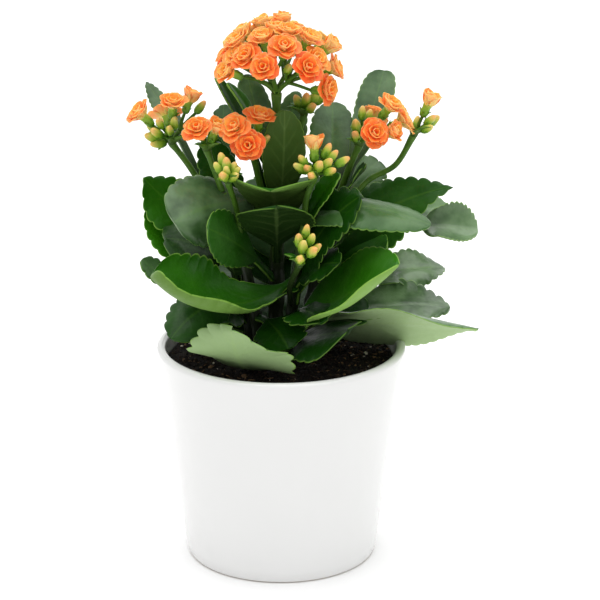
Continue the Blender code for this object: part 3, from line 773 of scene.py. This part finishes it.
# Name, the stalk's points from its shoot up to its foot, its radius, and the florets that fan out
# of the foot: kind, heading, tilt from upright and reach from the foot to the face.
SPRAYS = {
    "spray_top": (((-2, 0, 201), (-2, 0, 225), (-2, 0, 248)), 2.2, (
        ("flower", -176, 52, 36), ("light", -150, 62, 35), ("flower", -128, 46, 37),
        ("flower", -102, 56, 39), ("flower", -79, 38, 40), ("light", -24, 31, 38),
        ("opening", 20, 5, 40), ("opening", 160, 12, 38), ("light", 148, 25, 36),
        ("opening", 180, 27, 38), ("light", -164, 35, 38), ("bud", 168, 47, 40),
        ("flower", -57, 57, 38), ("light", -5, 65, 36), ("flower", -28, 80, 33),
        ("opening", -4, 48, 39), ("light", 21, 46, 39), ("light", 98, 40, 38),
        ("light", 66, 50, 37), ("flower", 123, 58, 35), ("flower", 45, 72, 33),
        ("bud", -64, 42, 26), ("light", -118, 24, 38), ("light", -58, 18, 39),
        ("opening", -90, 12, 37), ("light", -36, 50, 36), ("light", -146, 46, 35),
        ("light", 58, 26, 38), ("light", 110, 14, 38),
    )),
    "spray_left_back": (((-40.4, 14, 195), (-48, 15, 207), (-56, 15, 218)), 1.6, (
        ("light", -81, 19, 28), ("opening", 5, 23, 29), ("light", -164, 44, 27),
        ("bud", 15, 40, 29), ("bud", -128, 37, 21), ("bud", -93, 46, 19),
        ("bud", -76, 29, 19), ("bud", -133, 55, 18), ("bud", -154, 68, 17),
        ("bud", -172, 50, 19), ("bud", -147, 84, 13), ("flower", 105, 46, 22),
    )),
    "spray_left_front": (((-29.4, -12, 200), (-33, -12, 210), (-37, -10, 221)), 1.6, (
        ("flower", -112, 39, 22), ("opening", -40, 30, 17), ("bud", 37, 11, 17),
        ("bud", 115, 43, 14),
    )),
    "spray_left_centre": (((-5.8, -3, 182), (-10, -6, 200), (-14, -8, 219)), 1.7, (
        ("flower", -122, 44, 27), ("flower", -54, 18, 25), ("flower", -95, 65, 25),
        ("bud", -75, 42, 19), ("bud", -40, 46, 17), ("bud", -123, 62, 20),
    )),
    "spray_left_buds": (((-20, -15.5, 176), (-22, -24, 194), (-26, -33, 211)), 1.4, (
        ("bud", 152, 16, 16), ("bud", -99, 15, 15), ("bud", 180, 34, 13), ("bud", -94, 38, 14),
        ("bud", -105, 58, 13), ("bud", 0, 22, 12), ("bud", -17, 40, 12), ("bud", -49, 56, 11),
    )),
    "spray_centre_buds": (((12, -25.4, 187), (13, -27, 200), (17, -28, 212)), 1.6, (
        ("opening", 94, 6, 19), ("bud", -166, 34, 16), ("bud", -158, 56, 14),
        ("bud", -117, 52, 14), ("bud", -72, 45, 15), ("bud", -99, 72, 15), ("bud", -32, 44, 16),
        ("bud", -35, 66, 16), ("bud", 26, 29, 19), ("bud", 9, 42, 19), ("bud", 6, 62, 21),
    )),
    "spray_right": (((30.4, 2, 196), (35, 1, 209), (40, 0, 221)), 1.7, (
        ("flower", -67, 60, 25), ("light", -19, 37, 31), ("light", 0, 60, 29),
        ("opening", -34, 64, 25), ("bud", -61, 9, 23), ("bud", 25, 20, 21), ("bud", -107, 27, 18),
        ("bud", -106, 48, 15), ("flower", 50, 44, 23),
    )),
    "spray_right_far": (((32, 4, 186), (45, 12, 199), (59, 10, 208), (68, 6, 225)), 1.5, (
        ("opening", 0, 24, 22), ("bud", -15, 46, 17), ("bud", 12, 56, 17), ("bud", -28, 62, 14),
        ("bud", 55, 24, 11),
    )),
    "spray_low_buds": (((5, -21.5, 143), (5, -37, 158), (10, -52, 174)), 1.4, (
        ("bud", 0, 10, 22), ("bud", -36, 26, 21), ("bud", -100, 15, 19), ("bud", -79, 34, 18),
        ("bud", -24, 44, 18), ("bud", -60, 52, 20), ("bud", -90, 62, 17),
    )),
    "spray_top_right_buds": (((-1, 6, 192), (6, 9, 212), (12, 12, 234)), 1.5, (
        ("bud", 150, 30, 12), ("bud", -76, 24, 14), ("bud", 0, 30, 15), ("bud", 21, 50, 17),
        ("bud", -61, 56, 14),
    )),
}
STALK_RINGS = 30
STALK_SIDES = 12
FORK_RINGS = 9
FORK_SIDES = 8
PEDICEL_RADIUS = 0.85
BRANCH_RADIUS = 1.2
# The florets of one sector of headings, in degrees, share a branch, which reaches this share of
# the way to their calyxes.
BRANCH_SECTOR = 72
BRANCH_SHARE = 0.42
# About how long a branch is, so that an arm over it is about a unit vector.
BRANCH_LENGTH = 9
BRACTS = 4
BRACT_RISE = 28
BRACT_REACH = (7, 12)
# A bract's bow, stalk, width, widest place, cups, roll and wave, as in the table of leaves.
BRACT_SHAPE = ((1.5, 0), 0.1, 3.6, 0.4, 25, 0, 0.3)
# Length of a flower or bud from its calyx to its face.
FLORET_LENGTH = {"flower": 13.0, "light": 13.0, "opening": 12.0, "bud": 9.5}
# How orange the florets of a kind are (0 to 1), from its palest to its deepest.
HUES = {"flower": (0.55, 1.0), "light": (0.0, 0.35), "opening": (0.0, 0.5), "bud": (0.0, 1.0)}
# The least and the largest size of a kind.
OPEN_SIZES = (0.92, 1.02)
SIZES = {"flower": OPEN_SIZES, "light": OPEN_SIZES, "opening": OPEN_SIZES, "bud": (0.74, 1.0)}
# Outlines of the tube or the bud above the stalk: (radius, share of the floret's length).
OPEN_TUBE = (
    (0.9, 0.0), (1.7, 0.05), (2.3, 0.14), (2.3, 0.3), (2.1, 0.45), (2.4, 0.56), (2.2, 0.62), (0.4, 0.6),
)
CLOSED_BUD = (
    (0.9, 0.0), (1.5, 0.05), (2.1, 0.14), (2.45, 0.3), (2.45, 0.48), (2.2, 0.66), (1.75, 0.82),
    (1.1, 0.94), (0.3, 1.0),
)
TUBE_OUTLINE = {"flower": OPEN_TUBE, "light": OPEN_TUBE, "opening": OPEN_TUBE, "bud": CLOSED_BUD}
TUBE_SIDES = 20
LOBE_DEPTH = 0.1
LOBE_TWIST = 2.4
# Whorls of petals from the outside in: count, length, width, lean at the root and at the tip.
ROSETTE = (
    (5, 8.0, 9.6, 42, 92), (5, 7.2, 9.0, 32, 68), (4, 6.2, 7.8, 20, 44), (3, 5.0, 6.0, 6, 22),
)
CUPPED = (
    (5, 8.6, 9.0, 30, 74), (5, 7.8, 8.4, 22, 54), (4, 6.8, 7.2, 14, 36), (3, 5.4, 5.6, 4, 18),
)
HALF_OPEN = ((5, 8.6, 7.6, 16, 40), (5, 8.0, 7.0, 8, 24), (4, 7.0, 5.6, 2, 10))
SEPALS = ((4, 4.2, 2.0, 4, 34),)
WHORLS = {"flower": ROSETTE, "light": CUPPED, "opening": HALF_OPEN}
# Where petals and sepals root: distance from the floret's axis, and height on it, which is a
# share of the floret's length for petals.
PETAL_ROOT, PETAL_RISE = 1.5, 0.5
SEPAL_ROOT, SEPAL_RISE = 1.7, 0.4
# From one whorl to the next: turn as a share of a full one, step inwards, step up, and more cup
# in degrees.
WHORL_TURN, WHORL_INSET, WHORL_RISE, WHORL_CUP = 0.37, 0.28, 0.35, 17
PETAL_CUP = 28
# Spreads of chance: turn in radians, length as a share, and lean in degrees at root and tip.
TURN_SPREAD, LENGTH_SPREAD, LEAN_SPREAD, TIP_SPREAD = 0.12, 0.06, 4, 8
PETAL_WIDEST = 0.66
PETAL_STATIONS = 9
PETAL_ACROSS = 6
PETAL_THICK = 0.28
flower_chance = np.random.default_rng(5)


def direction(heading, rise):
    """The unit vector of a heading and a rise from level, in degrees."""
    heading, rise = np.radians(heading), np.radians(rise)
    level = np.cos(rise)
    return np.array((level * np.cos(heading), level * np.sin(heading), np.sin(rise)))


def crosswise(way):
    """Two unit vectors at right angles to a direction and to each other."""
    side = unit(np.cross(way, (0.3, 0.1, 1) if abs(way[2]) < 0.9 else (1, 0.2, 0)))
    return side, np.cross(way, side)


def fork(start, end, way, radius):
    """A branch or pedicel: a tube that leaves its fork upright and bends over to the way it ends."""
    reach = np.linalg.norm(end - start)
    middle = (start + end) / 2 - way * 0.12 * reach + np.array((0, 0, 0.06 * reach))
    path = smooth_path((start, middle, end), FORK_RINGS)
    return tube(path, radius * np.linspace(1.2, 0.95, FORK_RINGS), FORK_SIDES)


def floret_tube(base, way, kind, size, spin):
    """The tube or the bud: a turned outline with four soft lobes round it that twist as it rises."""
    outline = np.array(TUBE_OUTLINE[kind])
    known = np.linspace(0, 1, len(outline))
    share = np.linspace(0, 1, 3 * len(outline) - 2)
    radius, rise = np.interp(share, known, outline[:, 0]), np.interp(share, known, outline[:, 1])
    turn = np.arange(TUBE_SIDES) / TUBE_SIDES * TAU
    lobes = 1 + LOBE_DEPTH * np.cos(4 * (turn + spin) + LOBE_TWIST * rise[:, None])
    side, up = crosswise(way)
    round_points = np.cos(turn)[:, None] * side + np.sin(turn)[:, None] * up
    out = size * (radius[:, None] * lobes)[..., None] * round_points
    return base + way * (size * rise * FLORET_LENGTH[kind])[:, None, None] + out, rise


def petals(base, way, whorls, root, rise, size, spin):
    """Petals as one array (petal, station, ring point, xyz). Along a petal its lean from the axis
    grows evenly, so its midrib is an arc; across, it is an arc that cups towards the axis, and the
    inner whorls are cupped the most."""
    rows = [row for row in whorls for _ in range(row[0])]
    whorl = np.concatenate([np.full(row[0], i) for i, row in enumerate(whorls)])
    order = np.concatenate([np.arange(row[0]) / row[0] for row in whorls])
    _, length, width, lean, lean_tip = np.array(rows, float).T
    count = len(rows)
    turn = TAU * (order + WHORL_TURN * whorl) + spin + flower_chance.normal(0, TURN_SPREAD, count)
    length = size * length * flower_chance.normal(1, LENGTH_SPREAD, count)
    lean = np.radians(lean + flower_chance.normal(0, LEAN_SPREAD, count))[:, None]
    lean_tip = np.radians(lean_tip + flower_chance.normal(0, TIP_SPREAD, count))[:, None]
    s = np.linspace(0, 1, PETAL_STATIONS)
    angle = lean + (lean_tip - lean) * s
    step = length[:, None] / (PETAL_STATIONS - 1)
    sideways = np.cumsum(np.sin(angle), 1) * step - np.sin(lean) * step
    upward = np.cumsum(np.cos(angle), 1) * step - np.cos(lean) * step
    side, other = crosswise(way)
    out = np.cos(turn)[:, None] * side + np.sin(turn)[:, None] * other
    round_way = np.cross(way, out)
    out, round_way = out[:, None], round_way[:, None]
    root = size * (root - WHORL_INSET * whorl)[:, None] + sideways
    rise = size * (rise + WHORL_RISE * whorl)[:, None] + upward
    place = base + out * root[..., None] + way * rise[..., None]
    normal = way * np.sin(angle)[..., None] - out * np.cos(angle)[..., None]
    v, under = across_ring(PETAL_ACROSS)
    outline = (s / PETAL_WIDEST) ** 0.6 * ((1 - s) / (1 - PETAL_WIDEST)) ** 0.5
    half = np.maximum(size * width[:, None] / 2 * np.minimum(outline, 1.04), 0.22)[..., None]
    bend = np.radians(PETAL_CUP + WHORL_CUP * whorl)[:, None, None]
    level = half * np.sin(bend * v) / bend
    wave = TAU * (1.3 * s[:, None] + flower_chance.uniform(0, 1, (count, 1, 1)))
    lift = half * (1 - np.cos(bend * v)) / bend + 0.3 * np.sin(wave) * v**2 * s[:, None]
    thick = PETAL_THICK / 2 * np.sqrt(np.clip(1 - v**4, 0, 1)) * np.where(under > 0, -1, 1)
    rings = place[:, :, None] + round_way[:, :, None] * level[..., None]
    rings = rings + normal[:, :, None] * (lift + thick)[..., None]
    return rings, whorl / max(len(whorls) - 1, 1), s, v, under


def joined(parts):
    """One set of points, faces and marks from parts of (rings, marks of the same shape)."""
    points, faces, marks, start = [], [], {}, 0
    for rings, own in parts:
        faces += [[i + start for i in face] for face in ring_faces(*rings.shape[:2])]
        points.append(rings.reshape(-1, 3))
        for mark, values in own.items():
            marks.setdefault(mark, []).append(np.broadcast_to(values, rings.shape[:2]).ravel())
        start += rings.shape[0] * rings.shape[1]
    return np.vstack(points), faces, {mark: np.concatenate(v) for mark, v in marks.items()}


def add_spray_piece(spray, part, parts, finish):
    """One piece of the parts that are joined."""
    points, faces, marks = joined(parts)
    piece = add_piece(spray + "_" + part, points * MM, faces, finish, **marks)
    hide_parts(spray)


def bud_finish():
    """Tubes, buds and sepals: green at the foot, yellow-green above it and peach at a bud's tip."""
    bud = Finish(
        "bud_skin", Roughness=0.42, Specular_IOR_Level=0.35, Subsurface_Weight=0.12,
        Subsurface_Scale=1.5 * MM,
    )
    rise = bud.mark("rise") + (bud.noise(300, detail=2) - 0.5) * 0.25
    skin = bud.node("ValToRGB", {"stops": (
        (0.0, tone(70, 116, 20)), (0.2, tone(100, 146, 30)), (0.5, tone(138, 172, 44)),
        (0.78, tone(192, 198, 84)), (1.0, tone(228, 204, 118)),
    )}, {"Fac": rise}, "Color")
    blush = bud.mark("peach") * bud.step(rise, 0.5, 1.0)
    bud.feed(
        Base_Color=bud.mix(blush, skin, tone(240, 156, 92)),
        Normal=bud.bump(bud.noise(500, detail=2), 0.15 * MM),
    )
    return bud


def petal_finish():
    """Petals: orange within, lighter towards the edge and the back, yellow at the heart. They are
    so thin that light comes through them, which a faint glow of their own colour stands for."""
    petal = Finish(
        "petal_orange", Roughness=0.5, Specular_IOR_Level=0.3, Subsurface_Weight=0.42,
        Subsurface_Scale=3.0 * MM, Emission_Strength=0.06,
    )
    along, across = petal.mark("along"), petal.mark("across").math("ABSOLUTE")
    heart, back, hue = petal.mark("heart"), petal.mark("under"), petal.mark("hue")
    streak = petal.noise(420, detail=3)
    face = petal.mix(hue, tone(255, 150, 66), tone(255, 88, 34))
    face = petal.mix(streak * 0.4, face, tone(255, 160, 84))
    rim = petal.step(across * 0.7 + along * 0.5, 0.8, 1.2)
    face = petal.mix(rim * (0.75 - hue * 0.45), face, tone(255, 192, 120))
    face = petal.mix(heart * petal.step(along, 0.4, 1.0) * 0.65, face, tone(255, 196, 70))
    face = petal.mix((1 - petal.step(along, 0.0, 0.4)) * 0.5, face, tone(250, 190, 74))
    rear = petal.mix(hue, tone(255, 206, 132), tone(255, 160, 90))
    rear = petal.mix(petal.step(along, 0.05, 0.6), tone(236, 214, 110), rear)
    colour = petal.mix(back, face, rear)
    petal.feed(
        Base_Color=colour,
        Emission_Color=colour,
        Normal=petal.bump(streak, 0.25 * MM),
    )
    return petal


def bracts(foot):
    """Narrow leaves that stand out of a fork, as rings at a sixth of a leaf's stations."""
    for heading in flower_chance.uniform(0, 360, BRACTS):
        tip = foot + direction(heading, BRACT_RISE) * flower_chance.uniform(*BRACT_REACH)
        rings, u, v, under = leaf_rings(foot, tip, *BRACT_SHAPE)
        marks = {"along": u[::6, None], "across": v[::2][::-1], "under": under[::2][::-1]}
        yield rings[::6, ::2][:, ::-1], {**marks, "bright": 0.6, "bloom": 0}


bud_skin = bud_finish()
petal_skin = petal_finish()
for name, (points, radius, florets) in SPRAYS.items():
    foot = np.array(points[-1], float)
    swell = 1 + 0.3 * np.exp(-((np.arange(STALK_RINGS)[::-1] / 3.0) ** 2))
    green = [(tube(smooth_path(points, STALK_RINGS), radius * swell, STALK_SIDES), {})]
    skins, flowers, forks = [], [], {}
    ways = [direction(heading, 90 - tilt) for _, heading, tilt, _ in florets]
    necks = [max(reach - FLORET_LENGTH[kind], 1.5) for kind, _, _, reach in florets]
    for (_, heading, _, _), way, neck in zip(florets, ways, necks):
        forks.setdefault(heading // BRANCH_SECTOR, []).append(way * neck * BRANCH_SHARE)
    for sector, arms in forks.items():
        arm = np.mean(arms, 0)
        forks[sector] = foot + arm
        green.append((fork(foot, foot + arm, arm / BRANCH_LENGTH, BRANCH_RADIUS), {}))
    for (kind, heading, _, _), way, neck in zip(florets, ways, necks):
        base, spin = foot + way * neck, flower_chance.uniform(0, TAU)
        hue = flower_chance.uniform(*HUES[kind])
        size = flower_chance.uniform(*SIZES[kind])
        green.append((fork(forks[heading // BRANCH_SECTOR], base + way * 0.5, way, PEDICEL_RADIUS), {}))
        rings, rise = floret_tube(base, way, kind, size, spin)
        skins.append((rings, {"rise": rise[:, None], "peach": hue * 0.8}))
        sepals, _, s, *_ = petals(base, way, SEPALS, SEPAL_ROOT, SEPAL_RISE, size, spin)
        skins += [(one[:, ::-1], {"rise": s[:, None] * 0.2, "peach": 0}) for one in sepals]
        if kind in WHORLS:
            rise = PETAL_RISE * FLORET_LENGTH[kind]
            grid, heart, s, v, under = petals(base, way, WHORLS[kind], PETAL_ROOT, rise, size, spin)
            for one, own_heart in zip(grid, heart):
                marks = {"along": s[:, None], "across": v[::-1], "under": under[::-1]}
                flowers.append((one[:, ::-1], {**marks, "heart": own_heart, "hue": hue}))
    add_spray_piece(name, "stalks", green, stem_skin)
    add_spray_piece(name, "bracts", list(bracts(foot)), leaf_skin)
    add_spray_piece(name, "tubes", skins, bud_skin)
    if flowers:
        add_spray_piece(name, "petals", flowers, petal_skin)


# --------------------------------------
# Studio: a pale floor, a white surround and two large soft lamps.

FLOOR_REACH = 6
SURROUND_STRENGTH = 0.78
CAMERA_PLACE = (0.0099, -1.186, 0.528)
CAMERA_PITCH = 18.2
CAMERA_LENS = 144.3


def soft_lamp(name, place, aim, size, power):
    """A square area lamp at place that faces aim."""
    data = bpy.data.lights.new(name, "AREA")
    data.energy = power
    data.size = size
    lamp = placed(name, data)
    lamp.location = place
    way = np.array(aim, float) - place
    lamp.rotation_euler = (
        np.arctan2(np.hypot(way[0], way[1]), -way[2]), 0, np.arctan2(way[1], way[0]) - np.pi / 2,
    )


floor_mesh = bpy.data.meshes.new("studio_floor")
corners = ((-1, -1, 0), (1, -1, 0), (1, 1, 0), (-1, 1, 0))
floor_mesh.from_pydata((np.array(corners) * FLOOR_REACH).tolist(), [], [(0, 1, 2, 3)])
paper = Finish("studio_paper", Roughness=0.9, Specular_IOR_Level=0.1)
paper.feed(Base_Color=paper.mix(paper.noise(2, detail=1), (0.93, 0.93, 0.93), (0.94, 0.94, 0.94)))
floor_mesh.materials.append(paper.material)
floor = placed("studio_floor", floor_mesh)

soft_lamp("overhead_softbox", (0, 0.2, 1.9), (0, 0.2, 0), 2.6, 40)
soft_lamp("back_softbox", (0.2, 2.4, 0.9), (0, 0, 0.2), 2.2, 6)

world = bpy.data.worlds.new("white_surround")
world.use_nodes = True
world.node_tree.nodes["Background"].inputs["Color"].default_value = (1, 1, 1, 1)
world.node_tree.nodes["Background"].inputs["Strength"].default_value = SURROUND_STRENGTH
bpy.context.scene.world = world
bpy.context.scene.view_settings.view_transform = "Standard"

camera_data = bpy.data.cameras.new("camera")
camera_data.lens = CAMERA_LENS
camera_data.sensor_width = 36
camera = placed("camera", camera_data)
camera.location = CAMERA_PLACE
camera.rotation_euler = (np.radians(90 - CAMERA_PITCH), 0, 0)
bpy.context.scene.camera = camera
